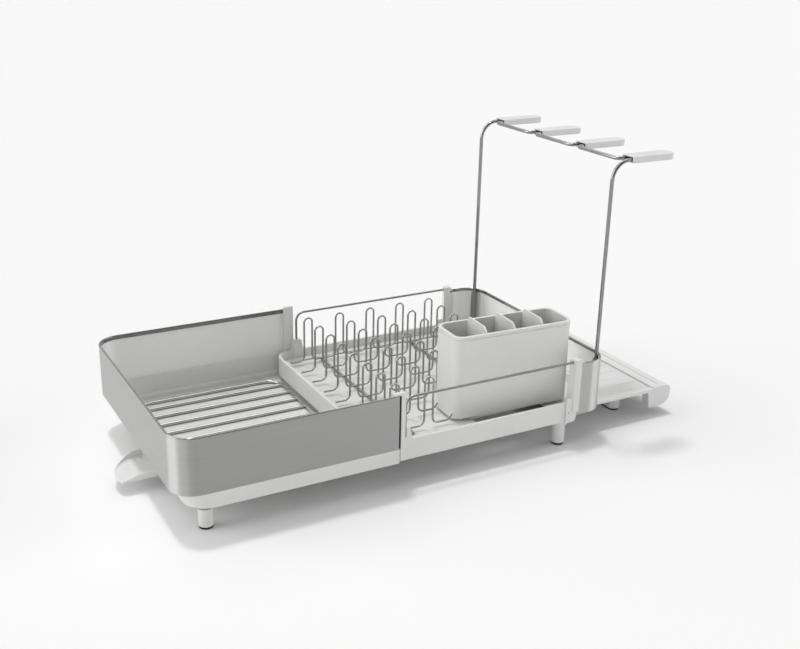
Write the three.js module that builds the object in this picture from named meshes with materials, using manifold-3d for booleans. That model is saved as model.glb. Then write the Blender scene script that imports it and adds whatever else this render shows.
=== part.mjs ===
// Expandable dish drainer: an outer half with a mug rack, an inner half that slides into it with a
// plate rack, a lift-out utensil holder, a pull-out drip tray and a lift-out stemware rack.
// Lengths are millimetres. While it is built, X runs from the outer band's left face to the right,
// Y from its front face to the back, and Z up from the table.
import * as THREE from 'three';
import { mergeVertices } from 'three/addons/utils/BufferGeometryUtils.js';
import Module from 'manifold-3d';

const wasm = await Module();
wasm.setup();

// Fits that every piece shares
const fit = 0.3;                 // gap left between two pieces that touch
const runFit = 0.7;              // side gap between the two halves where they slide
const over = 6;                  // how far a cut runs past the face that it opens
const arcFacets = 8;             // facets of a quarter turn
const fineFacets = 12;
const samePlace = 0.03;          // points of a bent wire nearer than this are one

// Overall sizes
const rackDepth = 335;           // front to back over the outer band
const outerLength = 272;         // left to right, outer half
const innerReach = 311;          // how far the inner half stands out of the outer half
const overlap = 26;              // inner half left inside the outer half when pulled out
const trayReach = 131;           // how far the drip tray stands out of the inner half
const sheet = 1;                 // thickness of both steel bands
const cornerRadius = 30;         // plan corner of both bands

// Outer base
const baseBottom = 25;           // underside of the outer base above the table
const baseFloor = 2.5;
const skirtBottom = 33.5;        // where the skirt turns under
const bandBottom = 53;           // lower edge of the outer steel band
const bandHeight = 69;
const tongueHeight = 4;          // the base's rim standing up inside the band
const skirtTuck = 15;            // how far the skirt's foot is drawn in at the left
const skirtDraft = 2;            // and at the front and back
const underTuck = 12;            // further draw-in of the flat underside at the left
const underDraft = 14;           // and at the front and back
const underCorner = 24;          // plan corner of the flat underside
const skirtShares = [[0, 1], [0.34, 0.82], [0.65, 0.65], [0.9, 0.36], [1, 0.25]];
const baseWall = 3;              // left wall of the outer base
const sideWall = 5;              // outer face to inner face of its front and back walls
const runnerWidth = 7.5;         // ledge inside the front and back walls that the inner half slides on
const basinCorner = 16;
const basinShelf = 3;            // left shelf between the basin and the wall's foot
const basinDam = 6;              // bar that closes the basin at its right end

// Outer steel band
const hemHeight = 6;             // rolled hem inside the top edge
const hemThick = 1.6;

// End posts of the outer half
const postStrip = 5.7;           // front face of the post beyond the band's end
const postLeg = 8;               // how far the post reaches along the inside of the band
const postThick = 5.1;           // outer face to inner face
const postCap = 2.8;             // hook over the band's top edge
const postDrop = 16;             // how far the strip hangs below the band

// Legs
const legDiameter = 17;
const legTipHeight = 2.6;
const legTipDiameter = 16.2;
const outerLegX = 39;
const outerLegY = 23;
const innerLegInset = 17;        // from the inner end band's start, to the left
const innerLegY = 16.5;
const screwShank = 3.4;
const screwHead = 7;
const screwHeadHeight = 2;
const screwRim = 0.8;            // straight rim under the rounded top of the head
const screwBite = 13;            // length of screw inside the leg
const legSides = 20;
const screwSides = 10;

// Mug rack
const mugWire = 4.5;
const mugRods = 10;
const mugRodInset = 20;          // between a side wire and the rod next to it
const mugSideInset = 30.5;       // front and back wires from the band's faces
const mugLeft = 36;
const mugRightGap = 5;           // between the right wire's centre and the inner half's end wall
const mugCorner = 22;

// Swivelling spout
const spoutPivotX = 56;
const spoutPivotY = 160;
const spoutScoopX = 15;          // centre of the round scoop
const spoutScoopY = 150;
const spoutScoopRadius = 43.5;
const spoutNearY = 131;          // straight near wall
const spoutDrop = 0.45;          // between the outer base's underside and the spout
const spoutHeight = 9.1;
const spoutFloor = 2;
const spoutWall = 2;
const spoutRearRadius = 29;
const spoutRoofDepth = 30;       // roofed part left of the pivot
const spoutRoof = 1.5;
const spoutTipShares = [[0, 0.24], [0.25, 0.3], [0.5, 0.52], [0.75, 0.86], [1, 1]];
const spoutTaper = 32;           // length over which the walls die away towards the tip
const pivotBore = 5.5;
const pivotTube = 7;
const pivotFlange = 11;
const pivotFlangeThick = 1.1;
const pivotLip = 8.2;
const pivotLipThick = 1;
const pivotSides = 24;

// Inner base
const liftGap = 1.7;             // between the mug rack's wires and the inner half
const innerWall = 4;
const innerWallHeight = 26.5;
const trayRoom = 12.5;           // from the inner half's underside to the underside of its floor
const innerFloor = 2.5;
const innerCornerLess = 4;       // its left plan corners are this much tighter than the bands'
const bossStart = 30;            // rail boss, from the inner half's left end
const bossLength = 11;
const bossThick = 6.5;
const bossRise = 15.5;           // above the side wall
const bossLeftRun = 4;           // run of the rising curve left of the boss
const bossRightRun = 5;
const riseShares = [[0, 0], [0.25, 0.1], [0.5, 0.5], [0.75, 0.9], [1, 1]];
const drainSlots = 5;
const drainSlotWidth = 6;
const drainSlotLength = 30;
const drainSlotGap = 3;          // from the end wall
const trayLedge = 1.7;           // thickness of the ledges that carry the tray
const trayLedgeWidth = 20;
const trayLedgeStart = 54;       // from the inner half's left end
const legPad = 24;               // square pad over each inner leg
const holderRib = 3.5;           // height of the ribs under the utensil holder
const holderRibWidth = 2.4;
const holderRibs = 6;
const holderDrainLeft = 25;      // the drain in front of the utensil holder, from its left side
const holderDrainRight = 0.5;    // from the leg's pad
const holderDrainWall = 2.5;     // from the front wall
const holderDrainUnder = 9;      // reach under the holder

// Inner end band
const endBandLength = 50;        // from its free ends to its right face
const endBandInset = 4.5;        // its front face behind the outer band's front face
const endBandLift = 7;           // lower edge above the inner base's underside
const endBandHeight = 71.7;
const endHemHeight = 4.5;
const endHemThick = 1.5;

// End caps of the inner half
const capLength = 16;            // its plate on the wall
const capPlateFront = 3.4;       // the plate's front face behind the outer band's front face
const capFront = 1.8;            // the rib's front face behind it
const capFacet = 9.3;            // width of the rib's front face
const capOverlap = 2.2;          // how far the rib covers the end band's end
const capFlankRun = 3.3;         // how far the rib's left flank spreads towards its back
const capDepth = 10;
const capTop = 118.8;
const capBottom = 33;
const capRibLift = 6;            // the rib's foot above the end band's lower edge
const capTip = 3;                // little tip under its left edge
const capFoot = 4.5;             // rounding of the plate's lower right corner
const capChamfer = 1.5;
const capTongue = 8;             // reach inside the end band
const capTongueThick = 3.7;
const capHole = 1;               // radius of the small hole low in the plate
const capHoleIn = 4;             // from the plate's left edge
const capHoleRise = 14;

// Rails
const railWire = 3.2;
const railBend = 12;
const railInset = 1.4;           // rail centre behind the outer face of the inner half's wall
const railDrop = 3.6;            // rail centre below the cap's top
const railSeat = 12;             // depth in the boss
const railPlug = 7;              // depth in the cap

// Plate rack
const tineWire = 2.6;
const tineRows = 8;
const tineInset = 41.15;         // first and last row from the outer band's faces
const tineColumns = 5;
const tineEndGap = 79.2;         // from the last tail's end to the inner half's right face
const tineFirst = 39;            // first loop's centre from the inner half's left end
const tineTail = 26;             // tail left and right of the loops, from a loop's centre
const shortGap = 2.4;            // from a short row's tip to the utensil holder's left side
const shortTipRun = 6;
const shortTipRise = 7;
const tineLoop = 12;             // between the two legs of a loop
const tineHeight = 63.5;         // from the row's wire to the loop's top wire
const tineBend = 8;
const crossWire = 4;
const crossShare = 0.48;         // cross wires between two columns of loops, from the left column
const crossInset = 33;
const crossHolderGap = 15.45;    // the right cross wire starts this far behind the utensil holder

// Drip tray
const trayInside = 113;          // length that stays under the inner half when pulled out
const traySideInset = 26;
const trayThick = 3.8;
const trayBorder = 30;           // raised border at the right
const trayBorderRise = 1.8;
const trayGroove = 1.6;
const trayGrooveDepth = 1.3;
const trayGrooveAt = 17;         // from the tray's right face
const trayGrooveStart = 9;
const trayRibs = 13;
const trayRibWidth = 1.6;
const trayRibHeight = 0.45;
const trayRibMargin = 12;
const trayCorner = 14;
const lipBottom = 13;
const lipLength = 40;            // left to right of its cheeks
const lipCheek = 13;
const lipWall = 3;
const lipLean = 4;               // the cheek's inner face leans
const lipTopRound = 7;
const lipFootRound = 15;
const footWidth = 18;
const footX = 62.5;              // centre from the tray's right face
const footInset = 60;
const footPad = 2.4;
const footWall = 2.5;
const footPadInset = 1;

// Stemware rack
const glassWire = 5;
const glassPostAngle = 39;       // degrees towards the front, seen from the band corner's centre
const socketGap = 0.7;           // between a socket and the end band's inside
const glassTop = 369.5;
const glassPostBend = 24;
const glassBend = 8;
const glassFingers = 4;
const glassFingerGap = 12.6;     // between the two wires of a finger
const glassJog = 5;              // the runs between fingers, right of the end band's face
const glassFingerReach = 80;     // from the end band's right face to the fingers' ends
const sleeveLength = 69.5;
const sleeveWidth = 23;
const sleeveThick = 8;
const sleeveCorner = 2;
const socketDiameter = 9;
const socketTop = 107.5;
const socketFloor = 9;

// Utensil holder
const holderLength = 171.2;
const holderDepth = 58.5;
const holderHeight = 109.1;
const holderWall = 4;
const holderCorner = 14;
const holderEndGap = 41.4;       // from the inner half's right face to the holder's right side
const holderY = 64.3;
const holderYaw = -3;            // degrees
const holderGroove = 1.2;
const holderGrooveDepth = 0.9;
const holderGrooveDrop = 3.5;
const dividers = 3;
const dividerThick = 2;
const dividerRise = 6.5;
const dividerChamfer = 6;
const holderSlots = 4;
const holderSlotPitch = 43.8;
const holderSlotWidth = 3;
const holderSlotLength = 28;

// Places worked out from the sizes above
const middleY = rackDepth / 2;
const backOf = (y) => rackDepth - y;
const bandTop = bandBottom + bandHeight;
const baseFloorTop = baseBottom + baseFloor;
const mugWireZ = baseFloorTop + fit + mugWire / 2;
const innerBottom = mugWireZ + mugWire / 2 + liftGap;
const runnerTop = innerBottom - fit;
const innerLeft = outerLength - overlap;
const innerRight = outerLength + innerReach;
const endBandStart = innerRight - endBandLength;
const innerSide = postThick + runFit;
const innerWallTop = innerBottom + innerWallHeight;
const innerFloorBottom = innerBottom + trayRoom;
const innerFloorTop = innerFloorBottom + innerFloor;
const endBandBottom = innerBottom + endBandLift;
const endBandTop = endBandBottom + endBandHeight;
const endBandInside = endBandInset + sheet;
const innerLegX = endBandStart - innerLegInset;
const bossLeft = innerLeft + bossStart;
const bossTop = innerWallTop + bossRise;
const innerLeftCorner = cornerRadius - innerCornerLess;
const railX = bossLeft + bossLength / 2;
const railY = innerSide + railInset;
const railZ = capTop - railDrop;
const capRight = endBandStart - fit;
const capLeft = capRight - capLength;
const ribRight = endBandStart + capOverlap;
const ribLeft = ribRight - capFacet;
const stemLeft = ribLeft - capFlankRun;
const crossZ = innerFloorTop + fit + crossWire / 2;
const rowZ = crossZ + crossWire / 2 + fit + tineWire / 2;
const trayBottom = innerBottom + trayLedge + fit;
const trayTop = trayBottom + trayThick;
const trayRight = innerRight + trayReach;
const trayLeft = innerRight - trayInside;
const trayBorderTop = trayTop + trayBorderRise;
const holderZ = innerFloorTop + holderRib + fit;
const holderX = innerRight - holderEndGap - holderLength / 2;
const tinePitch = (rackDepth - 2 * tineInset) / (tineRows - 1);
const rowLeft = innerLeft + tineFirst - tineTail;
const rowRight = innerRight - tineEndGap;
const tineColumnPitch = (rowRight - rowLeft - 2 * tineTail) / (tineColumns - 1);
const holderLeft = holderX - holderLength / 2;
const holderBack = holderY + holderDepth / 2;
const shortRight = holderLeft - shortGap;
const shortRoom = shortRight - shortTipRun - tineBend - tineLoop / 2 - rowLeft - tineTail;
const shortColumns = Math.max(0, 1 + Math.floor(shortRoom / tineColumnPitch));
const postReach = cornerRadius - sheet - socketGap - socketDiameter / 2;
const postTurn = THREE.MathUtils.degToRad(glassPostAngle);
const glassPostX = innerRight - cornerRadius + postReach * Math.cos(postTurn);
const glassPostY = endBandInset + cornerRadius - postReach * Math.sin(postTurn);
const spoutTop = baseBottom - spoutDrop;
const spoutBottom = spoutTop - spoutHeight;
const spoutTip = spoutScoopX - spoutScoopRadius;

// Finishes
const plastic = { color: 0xc9c9c6, roughness: 0.5, metalness: 0 };
const brightPlastic = { color: 0xdadad8, roughness: 0.45, metalness: 0 };
const brushedSteel = { color: 0xa9a9a8, roughness: 0.35, metalness: 1 };
const wireSteel = { color: 0xb4b4b4, roughness: 0.2, metalness: 1 };
const rubber = { color: 0x151515, roughness: 0.8, metalness: 0 };
const silicone = { color: 0xc4c5c4, roughness: 0.6, metalness: 0 };
const clearPlastic = { color: 0xe4e6e4, roughness: 0.4, metalness: 0 };
const zincSteel = { color: 0x9a9a98, roughness: 0.4, metalness: 1 };

// Solids: a closed geometry turned into a solid that can be cut and joined, and back again
function signedVolume(positions, triangles) {
  let volume = 0;
  const corner = [new THREE.Vector3(), new THREE.Vector3(), new THREE.Vector3()];
  for (let i = 0; i < triangles.length; i += 3) {
    corner.forEach((point, k) => point.fromArray(positions, triangles[i + k] * 3));
    volume += corner[0].dot(corner[1].cross(corner[2])) / 6;
  }
  return volume;
}

function toSolid(geometry) {
  const bare = geometry.clone();
  bare.deleteAttribute('normal');
  bare.deleteAttribute('uv');
  const welded = mergeVertices(bare);
  const vertProperties = new Float32Array(welded.attributes.position.array);
  const indices = Array.from(welded.index.array);
  const kept = [];
  for (let i = 0; i < indices.length; i += 3) {
    const [a, b, c] = indices.slice(i, i + 3);
    if (a !== b && b !== c && c !== a) kept.push(a, b, c);
  }
  if (signedVolume(vertProperties, kept) < 0) kept.reverse();
  return new wasm.Manifold(new wasm.Mesh({ numProp: 3, vertProperties, triVerts: new Uint32Array(kept) }));
}

function toGeometry(solid) {
  const mesh = solid.getMesh();
  const geometry = new THREE.BufferGeometry();
  geometry.setAttribute('position', new THREE.BufferAttribute(new Float32Array(mesh.vertProperties), 3));
  geometry.setIndex(new THREE.BufferAttribute(new Uint32Array(mesh.triVerts), 1));
  geometry.computeVertexNormals();
  return geometry;
}

const join = (solids) => solids.reduce((sum, next) => sum.add(next));
const cut = (solid, cutters) => cutters.reduce((rest, cutter) => rest.subtract(cutter), solid);

function outlineOf(points) {
  return new THREE.Shape(points.map(([x, y]) => new THREE.Vector2(x, y)));
}

// Outline of a rectangle with its own corner radius at the left and at the right
function slab([x0, x1], [y0, y1], leftRadius = 0, rightRadius = 0, facets = arcFacets) {
  const corners = [
    [x0, y0, leftRadius, 1, 1, Math.PI], [x1, y0, rightRadius, -1, 1, -Math.PI / 2],
    [x1, y1, rightRadius, -1, -1, 0], [x0, y1, leftRadius, 1, -1, Math.PI / 2],
  ];
  const points = corners.flatMap(([x, y, radius, inX, inY, start]) => {
    if (radius <= 0) return [[x, y]];
    return Array.from({ length: facets + 1 }, (_, i) => {
      const angle = start + Math.PI / 2 * i / facets;
      return [x + radius * (inX + Math.cos(angle)), y + radius * (inY + Math.sin(angle))];
    });
  });
  return outlineOf(points);
}

// Prisms of an outline: up Z, or of an outline drawn in XZ along Y, or drawn in YZ along X
function extruded(shape, depth) {
  return new THREE.ExtrudeGeometry(shape, { depth, bevelEnabled: false, curveSegments: arcFacets / 2 });
}

function prism(shape, [z0, z1]) {
  return toSolid(extruded(shape, z1 - z0).translate(0, 0, z0));
}

function prismAlongY(shape, [y0, y1]) {
  const turn = new THREE.Matrix4().makeBasis(
    new THREE.Vector3(1, 0, 0), new THREE.Vector3(0, 0, 1), new THREE.Vector3(0, -1, 0));
  return toSolid(extruded(shape, y1 - y0).applyMatrix4(turn).translate(0, y1, 0));
}

function prismAlongX(shape, [x0, x1]) {
  const turn = new THREE.Matrix4().makeBasis(
    new THREE.Vector3(0, 1, 0), new THREE.Vector3(0, 0, 1), new THREE.Vector3(1, 0, 0));
  return toSolid(extruded(shape, x1 - x0).applyMatrix4(turn).translate(x0, 0, 0));
}

const block = (xSpan, ySpan, zSpan) => prism(slab(xSpan, ySpan), zSpan);

function post([x, y], [z0, z1], radius, sides = legSides) {
  const geometry = new THREE.CylinderGeometry(radius, radius, z1 - z0, sides);
  return toSolid(geometry.rotateX(Math.PI / 2).translate(x, y, (z0 + z1) / 2));
}

function rodAlongX([x0, x1], y, z, radius, sides) {
  const geometry = new THREE.CylinderGeometry(radius, radius, x1 - x0, sides);
  return toSolid(geometry.rotateZ(Math.PI / 2).translate((x0 + x1) / 2, y, z));
}

// Turned piece from a half section given as radius and height
function turned(profile, [x, y], sides) {
  const points = profile.map(([radius, z]) => new THREE.Vector2(radius, z));
  return toSolid(new THREE.LatheGeometry(points, sides).rotateX(Math.PI / 2).translate(x, y, 0));
}

// Skin between outlines at rising heights, all with the same number of points
function loft(levels) {
  const rings = levels.map(({ shape, z }) => shape.getPoints().map((p) => [p.x, p.y, z]));
  const count = rings[0].length;
  const faces = THREE.ShapeUtils.triangulateShape(levels[0].shape.getPoints(), []);
  const top = (rings.length - 1) * count;
  const indices = [];
  faces.forEach(([a, b, c]) => indices.push(a, c, b, top + a, top + b, top + c));
  for (let level = 0; level < rings.length - 1; level += 1) {
    for (let i = 0; i < count; i += 1) {
      const a = level * count + i;
      const b = level * count + (i + 1) % count;
      indices.push(a, b, b + count, a, b + count, a + count);
    }
  }
  const geometry = new THREE.BufferGeometry();
  geometry.setAttribute('position', new THREE.Float32BufferAttribute(rings.flat(2), 3));
  geometry.setIndex(indices);
  return toSolid(geometry);
}

// Route of a bent wire: straight runs between corners, and an arc at each corner
class BentRoute extends THREE.Curve {
  constructor(corners, bend, bendSteps) {
    super();
    const points = corners.map((corner) => new THREE.Vector3(...corner.slice(0, 3)));
    const last = points.length - 1;
    const way = points.slice(1).map((point, i) => point.clone().sub(points[i]).normalize());
    this.stations = [{ point: points[0], tangent: way[0] }];
    for (let i = 1; i < last; i += 1) {
      const [u, v] = [way[i - 1], way[i]];
      const turn = u.angleTo(v);
      const before = points[i].distanceTo(points[i - 1]) / (i === 1 ? 1 : 2);
      const after = points[i].distanceTo(points[i + 1]) / (i === last - 1 ? 1 : 2);
      const radius = Math.min(corners[i][3] ?? bend, Math.min(before, after) / Math.tan(turn / 2));
      const inward = v.clone().addScaledVector(u, -Math.cos(turn)).normalize();
      const start = points[i].clone().addScaledVector(u, -radius * Math.tan(turn / 2));
      const centre = start.clone().addScaledVector(inward, radius);
      const steps = Math.max(1, Math.round(bendSteps * turn / (Math.PI / 2)));
      for (let k = 0; k <= steps; k += 1) {
        const angle = turn * k / steps;
        const point = centre.clone().addScaledVector(inward, -radius * Math.cos(angle))
          .addScaledVector(u, radius * Math.sin(angle));
        const tangent = u.clone().multiplyScalar(Math.cos(angle)).addScaledVector(inward, Math.sin(angle));
        const apart = point.distanceTo(this.stations[this.stations.length - 1].point);
        if (apart > samePlace) this.stations.push({ point, tangent });
      }
    }
    this.stations.push({ point: points[last], tangent: way[last - 1] });
  }

  station(share) {
    return this.stations[Math.round(share * (this.stations.length - 1))];
  }

  getPointAt(share) {
    return this.station(share).point.clone();
  }

  getTangentAt(share) {
    return this.station(share).tangent.clone();
  }
}

function wire(corners, diameter, bend, sides = 8, bendSteps = 4) {
  const route = new BentRoute(corners, bend, bendSteps);
  const section = [];
  for (let i = 0; i < sides; i += 1) {
    const angle = 2 * Math.PI * (i + 0.5) / sides;
    section.push([Math.cos(angle) * diameter / 2, Math.sin(angle) * diameter / 2]);
  }
  const steps = route.stations.length - 1;
  return toSolid(new THREE.ExtrudeGeometry(outlineOf(section), { steps, extrudePath: route }));
}

// The same solid on the other side of the rack's middle plane
function mirrored(solid) {
  const geometry = toGeometry(solid);
  geometry.applyMatrix4(new THREE.Matrix4().makeScale(1, -1, 1)).translate(0, rackDepth, 0);
  return toSolid(geometry);
}

const pieces = [];
function add(name, solid, finish, group = pieces) {
  const mesh = new THREE.Mesh(toGeometry(solid), new THREE.MeshStandardMaterial(finish));
  mesh.name = name;
  group.push(mesh);
}

function addPair(name, solid, finish) {
  add(`front_${name}`, solid, finish);
  add(`back_${name}`, mirrored(solid), finish);
}

// Outer base: a tray with a drawn-in skirt, a basin for water and a ledge for the inner half
function skirtOutline(leftInset, sideInset, radius, end = outerLength) {
  return slab([leftInset, end], [sideInset, backOf(sideInset)], radius);
}

function outerBase() {
  const shoulder = bandBottom - fit;
  const skirt = skirtShares.map(([height, tuck]) => ({
    z: skirtBottom + height * (shoulder - skirtBottom),
    left: tuck * skirtTuck,
    side: skirtDraft * (1 - height * (1 - tuck)),
  }));
  const hull = loft([
    { z: baseBottom, shape: skirtOutline(skirtTuck + underTuck, underDraft + skirtDraft, underCorner) },
    ...skirt.map(({ z, left, side }) => ({ z, shape: skirtOutline(left, side, cornerRadius - fit) })),
  ]);
  const rim = sheet + fit;
  const tongue = prism(skirtOutline(rim, rim, cornerRadius - rim),
    [shoulder - fit, bandBottom + tongueHeight]);
  const inside = cornerRadius - baseWall;
  const passage = loft([
    ...skirt.map(({ z, left }) => ({
      z: Math.max(z, runnerTop),
      shape: skirtOutline(left + baseWall + rim, sideWall, inside, outerLength + over),
    })),
    { z: bandBottom + tongueHeight, shape: skirtOutline(baseWall + rim, sideWall, inside, outerLength + over) },
    { z: bandTop, shape: skirtOutline(baseWall + rim, sideWall, inside, outerLength + over) },
  ]);
  const basinLeft = skirtTuck + underTuck + basinShelf;
  const basinSide = sideWall + runnerWidth;
  const basin = prism(
    slab([basinLeft, outerLength - basinDam], [basinSide, backOf(basinSide)], basinCorner),
    [baseFloorTop, innerBottom]);
  const drain = post([spoutPivotX, spoutPivotY],
    [baseBottom - over, innerBottom], pivotTube + fit, pivotSides);
  const sink = post([spoutPivotX, spoutPivotY],
    [baseFloorTop - pivotFlangeThick - fit, innerBottom], pivotFlange + fit, pivotSides);
  const screwHoles = [outerLegY, backOf(outerLegY)].map((y) =>
    post([outerLegX, y], [baseBottom - over, baseFloorTop + fit], screwShank / 2 + fit, screwSides));
  return cut(hull.add(tongue), [passage, basin, drain, sink, ...screwHoles]);
}
add('outer_base', outerBase(), plastic);

// Steel bands: a bent strip open at one end, with a rolled hem inside its top edge
function bandStrip([x0, x1], side, leftRadius, rightRadius, thick, zSpan) {
  const inner = (radius) => (radius > 0 ? radius - thick : 0);
  const openLeft = leftRadius > 0 ? thick : -over;
  const openRight = rightRadius > 0 ? -thick : over;
  const outside = slab([x0, x1], [side, backOf(side)], leftRadius, rightRadius, fineFacets);
  const hollow = slab([x0 + openLeft, x1 + openRight], [side + thick, backOf(side + thick)],
    inner(leftRadius), inner(rightRadius), fineFacets);
  return prism(outside, zSpan).subtract(prism(hollow, [zSpan[0] - over, zSpan[1] + over]));
}

const outerBand = bandStrip([0, outerLength], 0, cornerRadius, 0, sheet, [bandBottom, bandTop]);
const outerHem = bandStrip([0, outerLength - postLeg - fit], 0, cornerRadius, 0, sheet + hemThick,
  [bandTop - hemHeight, bandTop]);
add('outer_steel_band', outerBand.add(outerHem), brushedSteel);

// End posts: a strip that finishes the band's cut end, a leg inside it and a hook over its top
function endPost() {
  const stripLeft = outerLength + fit;
  const right = stripLeft + postStrip;
  const top = bandTop + fit + postCap;
  const legLeft = outerLength - postLeg;
  const strip = block([stripLeft, right], [0, postThick], [bandBottom - postDrop, top]);
  const leg = block([legLeft, right], [sheet + fit, postThick], [bandBottom + tongueHeight + fit, top]);
  const hook = block([legLeft, right], [0, postThick], [bandTop + fit, top]);
  return join([strip, leg, hook]);
}
addPair('end_post', endPost(), plastic);

// Legs, their rubber tips and the screws that hold them from above
function leg([x, y], top) {
  const hole = post([x, y], [top - screwBite - fit, top + over], screwShank / 2 + fit, screwSides);
  return post([x, y], [legTipHeight + fit, top], legDiameter / 2).subtract(hole);
}

function legScrew([x, y], seat, top) {
  const neck = screwShank / 2;
  const foot = top - screwBite;
  const under = seat + fit;
  return turned([
    [0, foot], [neck, foot + neck], [neck, under], [screwHead / 2, under],
    [screwHead / 2, under + screwRim], [neck, under + screwHeadHeight], [0, under + screwHeadHeight],
  ], [x, y], screwSides);
}

function addLegs(side, x, y, top, seat) {
  addPair(`${side}_leg`, leg([x, y], top), plastic);
  addPair(`${side}_leg_tip`, post([x, y], [0, legTipHeight], legTipDiameter / 2), rubber);
  addPair(`${side}_leg_screw`, legScrew([x, y], seat, top), zincSteel);
}
addLegs('left', outerLegX, outerLegY, baseBottom - fit, baseFloorTop);
addLegs('right', innerLegX, innerLegY, innerBottom - fit, innerFloorTop);

// Mug rack: a wire frame with rods from left to right
function mugRack() {
  const right = innerLeft - mugRightGap;
  const [front, back] = [mugSideInset, backOf(mugSideInset)];
  const split = (mugLeft + right) / 2;
  const half = (x, lap) => wire([
    [split + lap, front, mugWireZ], [x, front, mugWireZ], [x, back, mugWireZ], [split + lap, back, mugWireZ],
  ], mugWire, mugCorner);
  const rodPitch = (back - front - 2 * mugRodInset) / (mugRods - 1);
  const rods = [];
  for (let i = 0; i < mugRods; i += 1) {
    const y = middleY + (i - (mugRods - 1) / 2) * rodPitch;
    rods.push(rodAlongX([mugLeft, right], y, mugWireZ, mugWire / 2, 8));
  }
  return join([half(mugLeft, mugWire), half(right, -mugWire), ...rods]);
}
add('mug_rack', mugRack(), wireSteel);

// Spout: a round scoop with a straight near wall, roofed round its pivot
function spoutOutline(inset) {
  const near = spoutNearY + inset;
  const radius = spoutScoopRadius - inset;
  const nearAngle = Math.asin((near - spoutScoopY) / radius);
  const rear = spoutRearRadius - inset;
  const shape = new THREE.Shape();
  shape.absarc(spoutPivotX, spoutPivotY, rear, -Math.PI / 2, Math.PI / 2);
  shape.absarc(spoutScoopX, spoutScoopY, radius, Math.PI / 2, Math.PI - nearAngle);
  return shape;
}

function spout() {
  const shell = prism(spoutOutline(0), [spoutBottom, spoutTop]);
  const hollow = prism(spoutOutline(spoutWall), [spoutBottom + spoutFloor, spoutTop + over]);
  const roofSpan = [spoutPivotX - spoutRoofDepth, spoutPivotX + spoutRearRadius];
  const roof = prism(spoutOutline(0), [spoutTop - spoutRoof, spoutTop])
    .intersect(block(roofSpan, [0, rackDepth], [spoutBottom, spoutTop + over]));
  const eye = post([spoutPivotX, spoutPivotY],
    [spoutBottom + spoutFloor, spoutTop + over], pivotTube + fit, pivotSides);
  const taperLine = spoutTipShares.map(([run, rise]) =>
    [spoutTip + run * spoutTaper, spoutBottom + rise * spoutHeight]);
  const taper = prismAlongY(outlineOf([
    [spoutTip - over, spoutTop + over], [spoutTip - over, taperLine[0][1]], ...taperLine,
    [spoutTip + spoutTaper, spoutTop + over],
  ]), [0, rackDepth]);
  return cut(shell.subtract(hollow).add(roof), [eye, taper]);
}
add('spout', spout(), clearPlastic);

function spoutPivot() {
  const top = baseFloorTop;
  const flangeUnder = top - pivotFlangeThick;
  const lipTop = spoutTop - spoutRoof - fit;
  return turned([
    [pivotBore, top], [pivotFlange, top], [pivotFlange, flangeUnder], [pivotTube, flangeUnder],
    [pivotTube, lipTop], [pivotLip, lipTop], [pivotLip, lipTop - pivotLipThick],
    [pivotBore, lipTop - pivotLipThick], [pivotBore, top],
  ], [spoutPivotX, spoutPivotY], pivotSides);
}
add('spout_pivot', spoutPivot(), plastic);

// Inner base: floor, walls that rise to the rail bosses, ledges for the tray and ribs for the holder
const glassPosts = [glassPostY, backOf(glassPostY)].map((y) => [glassPostX, y]);
const holderCentre = [holderX, holderY];

function innerOutline(inset) {
  const endFace = innerRight - sheet - runFit;
  return slab([innerLeft + inset, endFace - inset], [innerSide + inset, backOf(innerSide + inset)],
    innerLeftCorner - inset, cornerRadius - sheet - runFit - inset);
}

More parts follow.
